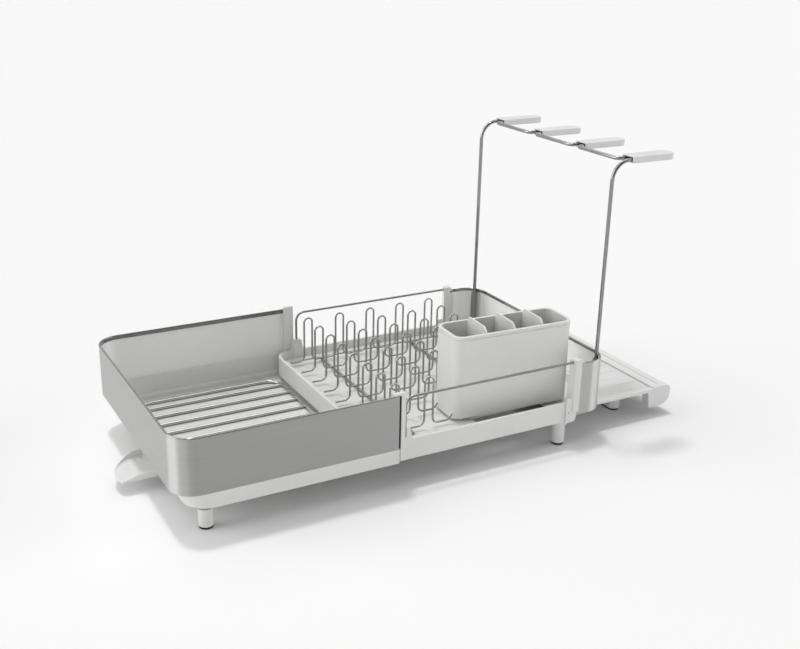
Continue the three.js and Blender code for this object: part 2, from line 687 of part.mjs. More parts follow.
function innerBase() {
  const all = [0, rackDepth];
  const walls = prism(innerOutline(0), [innerBottom, bossTop]);
  const risen = (left, run, sign) => riseShares.map(([x, z]) =>
    [left + sign * x * run, innerWallTop + z * bossRise]);
  const bossRight = bossLeft + bossLength;
  const wallTops = prismAlongY(outlineOf([
    [innerLeft - over, bossTop + over], [innerLeft - over, innerWallTop],
    ...risen(bossLeft - bossLeftRun, bossLeftRun, 1),
    ...risen(bossRight + bossRightRun, bossRightRun, -1).reverse(),
    [innerRight, innerWallTop], [innerRight, bossTop + over],
  ]), all);
  const well = prism(innerOutline(innerWall), [innerFloorTop, bossTop + over]);
  const underside = block([innerLeft + innerWall, innerRight],
    [innerSide + innerWall, backOf(innerSide + innerWall)], [innerBottom - over, innerFloorBottom]);
  const underBand = block([capRight, innerRight], all, [innerBottom - over, endBandBottom + fit]);
  const slotPitch = (rackDepth - 2 * (innerSide + innerLeftCorner)) / drainSlots;
  const slots = [];
  for (let i = 0; i < drainSlots; i += 1) {
    const y = middleY + (i - (drainSlots - 1) / 2) * slotPitch;
    const left = innerLeft + innerWall + drainSlotGap;
    slots.push(block([left, left + drainSlotWidth], [y - drainSlotLength / 2, y + drainSlotLength / 2],
      [innerFloorBottom - over, innerFloorTop + over]));
  }
  const drainBack = holderY - holderDepth / 2 + holderDrainUnder;
  slots.push(block([holderLeft + holderDrainLeft, innerLegX - legPad / 2 - holderDrainRight],
    [innerSide + innerWall + holderDrainWall, drainBack], [innerFloorBottom - over, innerFloorTop + over]));
  const shell = cut(walls, [wallTops, well, underside, underBand, ...slots]);
  const railSockets = [];
  const fittings = [];
  for (const flip of [(solid) => solid, mirrored]) {
    const bossSpan = [innerSide, innerSide + bossThick];
    const ledgeSpan = [innerSide, innerSide + trayLedgeWidth];
    fittings.push(
      flip(block([bossLeft, bossRight], bossSpan, [innerFloorBottom, bossTop])),
      flip(block([innerLeft + trayLedgeStart, capRight - capTip], ledgeSpan,
        [innerBottom, innerBottom + trayLedge])),
      flip(block([innerLegX - legPad / 2, innerLegX + legPad / 2],
        [innerSide + innerWall / 2, innerLegY + legDiameter / 2], [innerBottom, innerFloorTop])));
    railSockets.push(
      flip(post([railX, railY], [bossTop - railSeat, bossTop + over], railWire / 2 + fit, screwSides)),
      flip(post([innerLegX, innerLegY], [innerBottom - over, innerFloorTop + over],
        screwShank / 2 + fit, screwSides)));
  }
  const ribReach = holderLength / 2 - holderCorner;
  for (let i = 0; i < holderRibs; i += 1) {
    const x = holderCentre[0] + ribReach * (2 * i / (holderRibs - 1) - 1);
    fittings.push(block([x - holderRibWidth / 2, x + holderRibWidth / 2],
      [drainBack, holderY + holderDepth / 2], [innerFloorBottom, innerFloorTop + holderRib]));
  }
  const seats = glassPosts.map((at) =>
    post(at, [innerFloorTop, innerWallTop + over], socketDiameter / 2 + fit, pivotSides));
  return cut(join([shell, ...fittings]), [...railSockets, ...seats]);
}
add('inner_base', innerBase(), plastic);

const endBand = bandStrip([endBandStart, innerRight], endBandInset, 0, cornerRadius, sheet,
  [endBandBottom, endBandTop]);
const endHem = bandStrip([endBandStart + capTongue + fit, innerRight], endBandInset, 0, cornerRadius,
  sheet + endHemThick, [endBandTop - endHemHeight, endBandTop]);
add('inner_end_band', endBand.add(endHem), brushedSteel);

// End caps: a plate outside the wall, a stem above it with a rib over the end band's end, and a tongue inside it
function endCap() {
  const plateBack = innerSide - fit;
  const stemBack = capFront + capDepth;
  const above = innerWallTop + fit;
  const crown = endBandTop + fit;
  const shoulder = capTop - capChamfer;
  const stemShape = (right, inset) => outlineOf([
    [ribLeft + inset, capFront + inset], [right - inset, capFront + inset],
    [right - inset, stemBack - inset], [stemLeft + inset, stemBack - inset],
  ]);
  const plate = prismAlongY(outlineOf([
    [capLeft, capBottom - capTip], [capLeft + capTip, capBottom],
    [capRight - capFoot, capBottom], [capRight - capFoot / 3, capBottom + capFoot / 3],
    [capRight, capBottom + capFoot], [capRight, above + over], [capLeft, above + over],
  ]), [capPlateFront, plateBack]);
  const stem = prism(stemShape(capRight, 0), [above, crown + over]);
  const rib = block([ribLeft, ribRight], [capFront, endBandInset - fit], [endBandBottom + capRibLift, crown + over]);
  const neck = prism(stemShape(ribRight, 0), [crown, shoulder]);
  const head = loft([
    { z: shoulder, shape: stemShape(ribRight, 0) },
    { z: capTop, shape: stemShape(ribRight, capChamfer) },
  ]);
  const tongue = block([capRight - capTip, endBandStart + capTongue],
    [endBandInside + fit, endBandInside + fit + capTongueThick],
    [above, endBandTop - endHemHeight - fit]);
  const railHole = rodAlongX([stemLeft - over, stemLeft + railPlug + fit], railY, railZ,
    railWire / 2 + fit, screwSides);
  const holeAt = [capLeft + capHoleIn, capBottom + capHoleRise];
  const smallHole = prismAlongY(
    slab(...holeAt.map((at) => [at - capHole, at + capHole]), capHole, capHole),
    [capPlateFront - over, plateBack + over]);
  return cut(join([plate, stem, rib, neck, head, tongue]), [railHole, smallHole]);
}
addPair('end_cap', endCap(), plastic);

// Rails: a wire from each boss up and along to the end cap
addPair('rail', wire([
  [railX, railY, bossTop - railSeat + fit], [railX, railY, railZ], [stemLeft + railPlug, railY, railZ],
], railWire, railBend), wireSteel);

// Plate rack: serpentine rows on cross wires; the rows in front stop short of the utensil holder
function tineRow(y, columns, end, tipRun, tipRise) {
  const first = innerLeft + tineFirst;
  const corners = [[rowLeft, y, rowZ]];
  for (let i = 0; i < columns; i += 1) {
    const x = first + i * tineColumnPitch;
    corners.push([x - tineLoop / 2, y, rowZ], [x - tineLoop / 2, y, rowZ + tineHeight]);
    corners.push([x + tineLoop / 2, y, rowZ + tineHeight], [x + tineLoop / 2, y, rowZ]);
  }
  corners.push([end - tipRun, y, rowZ]);
  if (tipRise > 0) corners.push([end, y, rowZ + tipRise]);
  return wire(corners, tineWire, tineBend, 6, 2);
}

const crossFront = holderBack + crossHolderGap;
for (let row = 0; row < tineRows; row += 1) {
  const y = middleY + (row - (tineRows - 1) / 2) * tinePitch;
  const solid = y < crossFront
    ? tineRow(y, shortColumns, shortRight, shortTipRun, shortTipRise)
    : tineRow(y, tineColumns, rowRight, 0, 0);
  add(`plate_rack_row_${row + 1}`, solid, wireSteel);
}

const crossBack = backOf(crossInset);
const crossAt = (column) => innerLeft + tineFirst + (column + crossShare) * tineColumnPitch;
const crossLeftX = crossAt(0);
const crossRightX = crossAt(tineColumns - 2);
add('plate_rack_left_cross_wire', wire([
  [crossLeftX, crossInset, crossZ], [crossLeftX, crossBack, crossZ],
], crossWire, tineBend), wireSteel);
add('plate_rack_right_cross_wire', wire([
  [crossRightX, crossFront, crossZ], [crossRightX, crossBack, crossZ],
], crossWire, tineBend), wireSteel);
add('plate_rack_back_wire', wire([
  [rowLeft, crossBack - crossWire, rowZ], [rowRight, crossBack - crossWire, rowZ],
], tineWire, tineBend), wireSteel);

// Drip tray: a ribbed plate with a raised border and a turned-down lip with a cheek at each end
const trayY = [traySideInset, backOf(traySideInset)];

function lipProfile(inset, wallOnly) {
  const right = trayRight - inset;
  const left = wallOnly ? trayRight - lipWall : trayRight - lipLength;
  const foot = lipBottom + (wallOnly ? 0 : inset);
  const top = trayBorderTop - inset;
  const shape = new THREE.Shape();
  shape.moveTo(left, top);
  if (wallOnly) shape.lineTo(left, foot);
  else shape.lineTo(left + lipLean, foot);
  const lower = lipFootRound - inset;
  shape.absarc(right - lower, foot + lower, lower, -Math.PI / 2, 0);
  const upper = lipTopRound - inset;
  shape.absarc(right - upper, top - upper, upper, 0, Math.PI / 2);
  return shape;
}

function dripTray() {
  const borderLeft = trayRight - trayBorder;
  const plate = prism(slab([trayLeft, trayRight - lipTopRound], trayY), [trayBottom, trayTop]);
  const border = prism(slab([borderLeft, trayRight - lipTopRound], trayY), [trayBottom, trayBorderTop]);
  const solidLip = prismAlongY(lipProfile(0, false), trayY);
  const pocket = prismAlongY(lipProfile(lipWall, false), [trayY[0] + lipCheek, trayY[1] - lipCheek]);
  const behind = block([trayRight - lipLength - over, trayRight - lipFootRound],
    [trayY[0] + lipCheek, trayY[1] - lipCheek], [lipBottom - over, trayBottom]);
  const deck = block([trayLeft, trayRight], trayY, [trayBottom, trayBorderTop + over]);
  const beforeBorder = block([trayLeft, borderLeft], trayY, [trayTop, trayBorderTop + over]);
  const lip = cut(solidLip, [pocket.subtract(deck), beforeBorder]);
  const ribs = [];
  const ribSpan = trayY[1] - trayY[0] - 2 * trayRibMargin;
  for (let i = 0; i < trayRibs; i += 1) {
    const y = trayY[0] + trayRibMargin + ribSpan * i / (trayRibs - 1);
    ribs.push(block([trayLeft + trayRibMargin, borderLeft - trayRibWidth],
      [y - trayRibWidth / 2, y + trayRibWidth / 2], [trayBottom, trayTop + trayRibHeight]));
  }
  const grooveX = trayRight - trayGrooveAt;
  const groove = block([grooveX, grooveX + trayGroove],
    [trayY[0] + trayGrooveStart, trayY[1] - trayGrooveStart],
    [trayBorderTop - trayGrooveDepth, trayBorderTop + over]);
  const footGroove = block([borderLeft - trayGroove, borderLeft],
    [trayY[0] + trayGrooveStart, trayY[1] - trayGrooveStart], [trayTop - trayGrooveDepth, trayTop + over]);
  const joined = join([plate, border, lip, ...ribs]);
  return cut(joined, [behind, groove, footGroove]);
}
add('drip_tray', dripTray(), brightPlastic);

function footOutline(inset) {
  const x = trayRight - footX;
  const radius = footWidth / 2 - inset;
  const shape = new THREE.Shape();
  shape.absarc(x, footInset + footWidth / 2, radius, Math.PI, 2 * Math.PI);
  shape.absarc(x, backOf(footInset + footWidth / 2), radius, 0, Math.PI);
  return shape;
}
const footTop = trayBottom - fit;
const footShell = prism(footOutline(0), [footPad + fit, footTop])
  .subtract(prism(footOutline(footWall), [footPad + fit + footWall, footTop + over]));
add('tray_foot', footShell, brightPlastic);
add('tray_foot_pad', prism(footOutline(footPadInset), [0, footPad]), rubber);

// Stemware rack: one bent wire in two sockets, with a sleeve on each finger
glassPosts.forEach((at, i) => {
  const bore = post(at, [innerFloorTop + fit + socketFloor, socketTop + over],
    glassWire / 2 + fit, screwSides);
  const tube = post(at, [innerFloorTop + fit, socketTop], socketDiameter / 2, pivotSides);
  add(`${i === 0 ? 'front' : 'back'}_rack_socket`, tube.subtract(bore), rubber);
});

const fingerEnd = innerRight + glassFingerReach;
const fingerTop = glassTop - glassWire / 2;
const fingerCentre = (i) => {
  const first = glassPostY + glassFingerGap / 2;
  return first + i * (backOf(first) - first) / (glassFingers - 1);
};

function glassRack() {
  const foot = innerFloorTop + fit + socketFloor + fit;
  const jogX = innerRight + glassJog;
  const corners = [[...glassPosts[0], foot], [...glassPosts[0], fingerTop, glassPostBend]];
  for (let i = 0; i < glassFingers; i += 1) {
    const near = fingerCentre(i) - glassFingerGap / 2;
    const far = fingerCentre(i) + glassFingerGap / 2;
    if (i > 0) corners.push([jogX, near, fingerTop]);
    corners.push([fingerEnd, near, fingerTop], [fingerEnd, far, fingerTop]);
    if (i < glassFingers - 1) corners.push([jogX, far, fingerTop]);
  }
  corners.push([...glassPosts[1], fingerTop, glassPostBend], [...glassPosts[1], foot]);
  return wire(corners, glassWire, glassBend, 8, 3);
}
add('glass_rack_wire', glassRack(), wireSteel);

for (let i = 0; i < glassFingers; i += 1) {
  const y = fingerCentre(i);
  const wireHalf = glassFingerGap / 2 + glassWire / 2 + fit;
  const end = fingerEnd + glassWire / 2 + fit;
  const skin = sleeveWidth / 2 - wireHalf;
  const right = end + skin;
  const body = prism(slab([right - sleeveLength, right], [y - sleeveWidth / 2, y + sleeveWidth / 2],
    sleeveCorner, sleeveWidth / 2 - fit), [fingerTop - sleeveThick / 2, fingerTop + sleeveThick / 2]);
  const hollow = prism(slab([right - sleeveLength - over, end], [y - wireHalf, y + wireHalf],
    0, wireHalf - fit), [fingerTop - glassWire / 2 - fit, fingerTop + glassWire / 2 + fit]);
  add(`glass_rack_sleeve_${i + 1}`, body.subtract(hollow), silicone);
}

// Utensil holder: an open box with three upright dividers, turned a little on the inner base
const holderPieces = [];
const centred = (length) => [-length / 2, length / 2];
function holderSlab(inset) {
  return slab(centred(holderLength - 2 * inset), centred(holderDepth - 2 * inset),
    holderCorner - inset, holderCorner - inset);
}

function utensilHolder() {
  const body = prism(holderSlab(0), [0, holderHeight]);
  const hollow = prism(holderSlab(holderWall), [holderWall, holderHeight + over]);
  const grooveTop = holderHeight - holderGrooveDrop;
  const grooveSpan = [grooveTop - holderGroove, grooveTop];
  const groove = prism(holderSlab(-over), grooveSpan)
    .subtract(prism(holderSlab(holderGrooveDepth), grooveSpan));
  const slots = [];
  for (let i = 0; i < holderSlots; i += 1) {
    const x = (i - (holderSlots - 1) / 2) * holderSlotPitch;
    slots.push(block([x - holderSlotWidth / 2, x + holderSlotWidth / 2],
      centred(holderSlotLength), [-over, over]));
  }
  return cut(body, [hollow, groove, ...slots]);
}
add('utensil_holder', utensilHolder(), plastic, holderPieces);

for (let i = 0; i < dividers; i += 1) {
  const x = (holderLength - 2 * holderWall) * ((i + 1) / (dividers + 1) - 0.5);
  const half = holderDepth / 2 - holderWall - fit;
  const top = holderHeight + dividerRise;
  const plate = outlineOf([
    [-half, holderWall + fit], [half, holderWall + fit], [half, top - dividerChamfer],
    [half - dividerChamfer, top], [dividerChamfer - half, top], [-half, top - dividerChamfer],
  ]);
  add(`holder_divider_${i + 1}`, prismAlongX(plate, [x - dividerThick / 2, x + dividerThick / 2]),
    plastic, holderPieces);
}

const holder = new THREE.Group();
holder.add(...holderPieces);
holder.position.set(...holderCentre, holderZ);
holder.rotation.z = THREE.MathUtils.degToRad(holderYaw);

// The finished part stands on the table with its origin under the middle of its outline
const rack = new THREE.Group();
rack.add(...pieces, holder);
rack.position.set(-(spoutTip + trayRight) / 2, -middleY, 0);

const dishDrainer = new THREE.Group();
dishDrainer.name = 'dish_drainer';
dishDrainer.add(rack);

export default dishDrainer;
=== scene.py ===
"""Dish drainer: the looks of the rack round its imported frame.

Lengths are metres in the row frame: +X towards the drip tray, +Y towards the back, Z up from the
table.
"""
import math
from collections import namedtuple

import bmesh
import bpy
from mathutils import Matrix, Vector


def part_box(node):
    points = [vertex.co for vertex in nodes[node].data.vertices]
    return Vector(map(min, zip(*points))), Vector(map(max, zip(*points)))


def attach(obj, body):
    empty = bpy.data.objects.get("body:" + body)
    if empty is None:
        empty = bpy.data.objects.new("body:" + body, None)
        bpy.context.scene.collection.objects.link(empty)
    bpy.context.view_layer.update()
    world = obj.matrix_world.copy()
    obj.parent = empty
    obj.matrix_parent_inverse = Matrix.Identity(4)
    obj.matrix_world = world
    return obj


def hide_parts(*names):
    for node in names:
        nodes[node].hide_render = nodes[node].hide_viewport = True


MM = 0.001

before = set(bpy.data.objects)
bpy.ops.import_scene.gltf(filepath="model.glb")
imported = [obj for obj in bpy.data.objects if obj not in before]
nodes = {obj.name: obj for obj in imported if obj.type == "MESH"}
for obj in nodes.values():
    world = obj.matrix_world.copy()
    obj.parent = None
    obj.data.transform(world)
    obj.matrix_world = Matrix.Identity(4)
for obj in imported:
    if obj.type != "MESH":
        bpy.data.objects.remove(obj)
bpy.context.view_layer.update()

SIDES = ("front", "back")
ROWS = range(1, 9)
SHORT_ROWS = (1, 2)
FINGERS = range(1, 5)
DIVIDERS = range(1, 4)


# Noise behind a colour, a roughness or a bump; strength and depth are the bump's
Grain = namedtuple("Grain", "scale detail strength depth stretch roughness",
                   defaults=(0.0, 0.0, None, 0.55))

MOULD_CLOUDS = Grain(9.0, 2.0)
MOULD_SHEEN = Grain(60.0, 4.0)
MOULD_PORES = Grain(2600.0, 2.0, 0.12, 0.05 * MM)
MOULD_WAVES = Grain(30.0, 1.0, 0.05, 0.4 * MM)
MOULD_SPREAD = (-0.05, 0.05)
MOULD_SPECULAR = 0.45

STREAKS = Grain(1.0, 6.0, 0.16, 0.02 * MM, (14.0, 14.0, 2400.0), 0.7)
FINE_STREAKS = Grain(1.0, 4.0, 0.1, 0.012 * MM, (60.0, 60.0, 9000.0), 0.6)
STREAK_SPREAD = (-0.06, 0.08)
STREAK_SPAN = (0.25, 0.75)
FINE_STREAK_SPAN = (0.2, 0.8)
STREAK_TURN = 0.25
STREAK_STRETCH = 0.93

WIRE_CLOUDS = Grain(120.0, 3.0)
WIRE_SHEEN = Grain(400.0, 3.0)
WIRE_GRAIN = Grain(1500.0, 3.0, 0.06, 0.03 * MM)
WIRE_SPREAD = (-0.05, 0.07)

GRIP_CLOUDS = Grain(25.0, 2.0)
GRIP_SHEEN = Grain(200.0, 3.0)
GRIP_PORES = Grain(1800.0, 2.0, 0.2, 0.06 * MM)
GRIP_SPREAD = (-0.06, 0.06)
GRIP_SPECULAR = 0.3

FROST_CLOUDS = Grain(12.0, 2.0)
FROST_SHEEN = Grain(90.0, 3.0)
FROST_PORES = Grain(2200.0, 2.0, 0.1, 0.05 * MM)
FROST_SPREAD = (-0.05, 0.05)
FROST_CLEARNESS = 0.2
FROST_GLOW = 0.5
FROST_GLOW_REACH = 6 * MM
FROST_IOR = 1.49

WIDE_SPAN = (0.3, 0.7)


# Materials: each is a Principled shader with procedural colour, roughness and grain
class Material:
    def __init__(self, name, metallic=0.0):
        self.material = bpy.data.materials.new(name)
        self.material.use_nodes = True
        self.tree = self.material.node_tree
        self.shader = self.tree.nodes["Principled BSDF"]
        self.set("Metallic", metallic)
        self.place = self.tree.nodes.new("ShaderNodeTexCoord").outputs["Object"]

    def set(self, name, value):
        self.shader.inputs[name].default_value = value

    def link(self, source, target):
        self.tree.links.new(source, target)

    def stretched_place(self, stretch):
        mapping = self.tree.nodes.new("ShaderNodeMapping")
        mapping.inputs["Scale"].default_value = stretch
        self.link(self.place, mapping.inputs["Vector"])
        return mapping.outputs["Vector"]

    def noise(self, grain):
        noise = self.tree.nodes.new("ShaderNodeTexNoise")
        noise.inputs["Scale"].default_value = grain.scale
        noise.inputs["Detail"].default_value = grain.detail
        noise.inputs["Roughness"].default_value = grain.roughness
        place = self.stretched_place(grain.stretch) if grain.stretch else self.place
        self.link(place, noise.inputs["Vector"])
        return noise.outputs["Fac"]

    def ramp(self, fac, colours, span):
        ramp = self.tree.nodes.new("ShaderNodeValToRGB")
        for stop, place, colour in zip(ramp.color_ramp.elements, span, colours):
            stop.position = place
            stop.color = (*colour, 1.0)
        self.link(fac, ramp.inputs["Fac"])
        return ramp.outputs["Color"]

    def colour(self, low, high, fac, span=WIDE_SPAN):
        self.link(self.ramp(fac, (low, high), span), self.shader.inputs["Base Color"])

    def roughness(self, rough, spread, fac, span=WIDE_SPAN):
        greys = [(rough + change,) * 3 for change in spread]
        self.link(self.ramp(fac, greys, span), self.shader.inputs["Roughness"])

    def bump(self, grain, fac):
        """A bump on top of the ones that are there."""
        bump = self.tree.nodes.new("ShaderNodeBump")
        bump.inputs["Strength"].default_value = grain.strength
        bump.inputs["Distance"].default_value = grain.depth
        self.link(fac, bump.inputs["Height"])
        normal = self.shader.inputs["Normal"]
        if normal.is_linked:
            self.link(normal.links[0].from_socket, bump.inputs["Normal"])
        self.link(bump.outputs["Normal"], normal)


def moulded(name, low, high, rough):
    made = Material(name)
    made.colour(low, high, made.noise(MOULD_CLOUDS))
    made.roughness(rough, MOULD_SPREAD, made.noise(MOULD_SHEEN))
    made.bump(MOULD_PORES, made.noise(MOULD_PORES))
    made.bump(MOULD_WAVES, made.noise(MOULD_WAVES))
    made.set("Specular IOR Level", MOULD_SPECULAR)
    return made.material


def brushed(name, low, high, rough, metallic=1.0, stretch=STREAK_STRETCH):
    made = Material(name, metallic)
    streaks = made.noise(STREAKS)
    fine = made.noise(FINE_STREAKS)
    made.colour(low, high, streaks, STREAK_SPAN)
    made.roughness(rough, STREAK_SPREAD, fine, FINE_STREAK_SPAN)
    made.bump(STREAKS, streaks)
    made.bump(FINE_STREAKS, fine)
    made.set("Anisotropic", stretch)
    made.set("Anisotropic Rotation", STREAK_TURN)
    return made.material


def drawn_wire(name, low, high, rough):
    made = Material(name, 1.0)
    made.colour(low, high, made.noise(WIRE_CLOUDS))
    made.roughness(rough, WIRE_SPREAD, made.noise(WIRE_SHEEN))
    made.bump(WIRE_GRAIN, made.noise(WIRE_GRAIN))
    return made.material


def soft_grip(name, low, high, rough):
    made = Material(name)
    made.colour(low, high, made.noise(GRIP_CLOUDS))
    made.roughness(rough, GRIP_SPREAD, made.noise(GRIP_SHEEN))
    made.bump(GRIP_PORES, made.noise(GRIP_PORES))
    made.set("Specular IOR Level", GRIP_SPECULAR)
    return made.material


def frosted(name, low, high, rough):
    made = Material(name)
    made.colour(low, high, made.noise(FROST_CLOUDS))
    made.roughness(rough, FROST_SPREAD, made.noise(FROST_SHEEN))
    made.bump(FROST_PORES, made.noise(FROST_PORES))
    made.set("Transmission Weight", FROST_CLEARNESS)
    made.set("Subsurface Weight", FROST_GLOW)
    made.set("Subsurface Radius", (FROST_GLOW_REACH,) * 3)
    made.set("IOR", FROST_IOR)
    return made.material


# Each material's darkest and lightest colour and its roughness
PLASTIC = moulded("moulded_plastic", (0.71, 0.71, 0.7), (0.745, 0.745, 0.735), 0.44)
TRAY_PLASTIC = moulded("tray_plastic", (0.72, 0.72, 0.715), (0.76, 0.76, 0.755), 0.42)
STEEL = brushed("brushed_steel", (0.44, 0.44, 0.436), (0.52, 0.52, 0.516), 0.42)
# Painted dark reflection: the polished hem's colour is set far darker than steel to stand in for
# dark surroundings mirrored along the rolled edge
STEEL_EDGE_PAINTED_DARK = brushed("polished_steel_edge_painted_dark", (0.21, 0.21, 0.208), (0.28, 0.28, 0.278), 0.16,
                     stretch=0.3)
# Partly a matt inside finish, partly painted reflection: the colour is set near white to stand in
# for the bright surroundings the steel mirrors
STEEL_INSIDE_PAINTED_LIGHT = brushed("matt_steel_inside_painted_light", (0.9, 0.9, 0.895), (0.95, 0.95, 0.945), 0.42,
                       metallic=0.35, stretch=0.5)
# Painted dark reflection: the colour is set far darker than chrome to stand in for dark
# surroundings mirrored in the wire
CHROME_WIRE_PAINTED_DARK = drawn_wire("chrome_wire_painted_dark", (0.25, 0.25, 0.25), (0.31, 0.31, 0.31), 0.08)
# Painted dark reflection: the colour is set darker than steel to stand in for dark surroundings
# mirrored in the tines
SATIN_WIRE_PAINTED_DARK = drawn_wire("satin_wire_painted_dark", (0.31, 0.31, 0.305), (0.38, 0.38, 0.375), 0.2)
BRIGHT_WIRE = drawn_wire("bright_wire", (0.52, 0.52, 0.515), (0.6, 0.6, 0.595), 0.07)
RUBBER = soft_grip("black_rubber", (0.012, 0.012, 0.012), (0.02, 0.02, 0.02), 0.62)
SOCKET_RUBBER = soft_grip("grey_rubber", (0.2, 0.2, 0.2), (0.24, 0.24, 0.24), 0.62)
SILICONE = soft_grip("grey_silicone", (0.67, 0.68, 0.67), (0.72, 0.73, 0.72), 0.5)
CLEAR = frosted("frosted_plastic", (0.84, 0.85, 0.84), (0.88, 0.89, 0.88), 0.32)
ZINC = drawn_wire("zinc_steel", (0.4, 0.4, 0.38), (0.5, 0.5, 0.48), 0.35)


# CAD nodes that stay: their material, rounded edges and smooth corners
WELD_REACH = 0.002 * MM
FLAT_ANGLE = math.radians(0.8)
EDGE_ANGLE = math.radians(32.0)
FACE_WEIGHT = 60

# Material, edge radius in millimetres and segments of the rounding
KEPT = {
    "outer_base": (PLASTIC, 0.5, 3),
    "inner_base": (PLASTIC, 0.6, 3),
    "drip_tray": (TRAY_PLASTIC, 0.5, 3),
    "tray_foot": (TRAY_PLASTIC, 0.6, 3),
    "tray_foot_pad": (RUBBER, 0.4, 3),
    "utensil_holder": (PLASTIC, 0.28, 2),
    "spout": (CLEAR, 0.5, 3),
    "spout_pivot": (PLASTIC, 0.2, 3),
    **{f"holder_divider_{divider}": (PLASTIC, 0.7, 3) for divider in DIVIDERS},
    **{f"glass_rack_sleeve_{finger}": (SILICONE, 3.2, 6) for finger in FINGERS},
}
KEPT_ON_EACH_SIDE = {
    "end_post": (PLASTIC, 0.5, 3),
    "end_cap": (PLASTIC, 0.5, 3),
    "rack_socket": (SOCKET_RUBBER, 0.3, 3),
}
KEPT_LEGS = {
    "leg": (PLASTIC, 0.4, 3),
    "leg_tip": (RUBBER, 0.7, 3),
    "leg_screw": (ZINC, 0.1, 1),
}


def shade_smooth(obj):
    obj.data.polygons.foreach_set("use_smooth", [True] * len(obj.data.polygons))
    obj.data.update()


def soften(obj, width, segments):
    shade_smooth(obj)
    weld = obj.modifiers.new("weld", "WELD")
    weld.merge_threshold = WELD_REACH
    flat = obj.modifiers.new("flat_faces", "DECIMATE")
    flat.decimate_type = "DISSOLVE"
    flat.angle_limit = FLAT_ANGLE
    bevel = obj.modifiers.new("edge_radius", "BEVEL")
    bevel.width = width
    bevel.segments = segments
    bevel.limit_method = "ANGLE"
    bevel.angle_limit = EDGE_ANGLE
    bevel.use_clamp_overlap = True
    bevel.miter_outer = "MITER_ARC"
    bevel.harden_normals = False
    normals = obj.modifiers.new("face_normals", "WEIGHTED_NORMAL")
    normals.keep_sharp = False
    normals.weight = FACE_WEIGHT


def keep(name, material, radius, segments):
    materials = nodes[name].data.materials
    materials.clear()
    materials.append(material)
    soften(nodes[name], radius * MM, segments)


def keep_cad_nodes():
    for name, finish in KEPT.items():
        keep(name, *finish)
    for side in SIDES:
        for part, finish in KEPT_ON_EACH_SIDE.items():
            keep(f"{side}_{part}", *finish)
        for end in ("left", "right"):
            for part, finish in KEPT_LEGS.items():
                keep(f"{side}_{end}_{part}", *finish)


# Pieces made here
def new_object(name, data):
    obj = bpy.data.objects.new(name, data)
    bpy.context.scene.collection.objects.link(obj)
    return obj


def mesh_object(name, bm, materials):
    mesh = bpy.data.meshes.new(name)
    bm.to_mesh(mesh)
    bm.free()
    for material in materials:
        mesh.materials.append(material)
    obj = new_object(name, mesh)
    shade_smooth(obj)
    return obj


def stand_for(obj, node, body):
    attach(obj, body)
    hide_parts(node)


# Steel bands: a sheet swept round the rack with a rolled hem inside its top edge
SHEET = 1 * MM
BAND_RADIUS = 30 * MM
CORNER_STEPS = 24
HEM_TOP_STEPS = 10
OUTER_HEM = (1.6 * MM, 6 * MM)   # thickness and height
END_HEM = (1.5 * MM, 4.5 * MM)
END_HEM_START = 12 * MM          # from the end band's free ends
EASE = 0.35 * MM                 # rounding of the sheet's edges
EASE_SMALL = EASE / 8
SAME_POINT = 1e-6
SHARP_EDGE = math.radians(40)
OUTSIDE, EDGE, INSIDE = range(3)


def u_path(corner_x, end_x, half_depth, hem_stop):
    """Stations along the band's outside: place, inward direction and whether the hem is there."""
    towards = 1 if end_x > corner_x else -1
    bend_start = corner_x + towards * (BAND_RADIUS + EASE)
    bend_end = half_depth - BAND_RADIUS - EASE
    legs = []
    for side in (-1, 1):
        inward = Vector((0, -side))
        leg = [(Vector((x, side * half_depth)), inward, hem)
               for x, hem in ((end_x, 0), (hem_stop, 0), (hem_stop, 1), (bend_start, 1))]
        centre = Vector((corner_x + towards * BAND_RADIUS, side * (half_depth - BAND_RADIUS)))
        for k in range(CORNER_STEPS + 1):
            angle = math.pi / 2 * k / CORNER_STEPS
            outward = Vector((-towards * math.sin(angle), side * math.cos(angle)))
            leg.append((centre + outward * BAND_RADIUS, -outward, 1))
        leg.append((Vector((corner_x, side * bend_end)), Vector((towards, 0)), 1))
        legs.append(leg)
    return legs[0] + legs[1][::-1]


def hemmed_sheet(low, top, hem_thick, hem_high):
    """The sheet's cross-section: distance inward, height and finish of the side that follows."""
    radius = (SHEET + hem_thick) / 2
    roll = top - radius
    foot = top - hem_high
    section = [(0, low + EASE / 2, OUTSIDE), (0, low + EASE, OUTSIDE),
               (0, roll - EASE, OUTSIDE), (0, roll, EDGE)]
    for k in range(1, HEM_TOP_STEPS):
        angle = math.pi * k / HEM_TOP_STEPS
        section.append((radius - radius * math.cos(angle), roll + radius * math.sin(angle), EDGE))
    section += [(2 * radius, roll, EDGE), (2 * radius, foot + EASE, EDGE),
                (max(SHEET, 2 * radius - EASE), foot, EDGE),
                (SHEET, foot - EASE_SMALL, INSIDE), (SHEET, foot - EASE, INSIDE),
                (SHEET, low + EASE, INSIDE), (SHEET, low + EASE / 2, OUTSIDE),
                (SHEET - EASE / 2, low, OUTSIDE), (EASE / 2, low, OUTSIDE)]
    return section


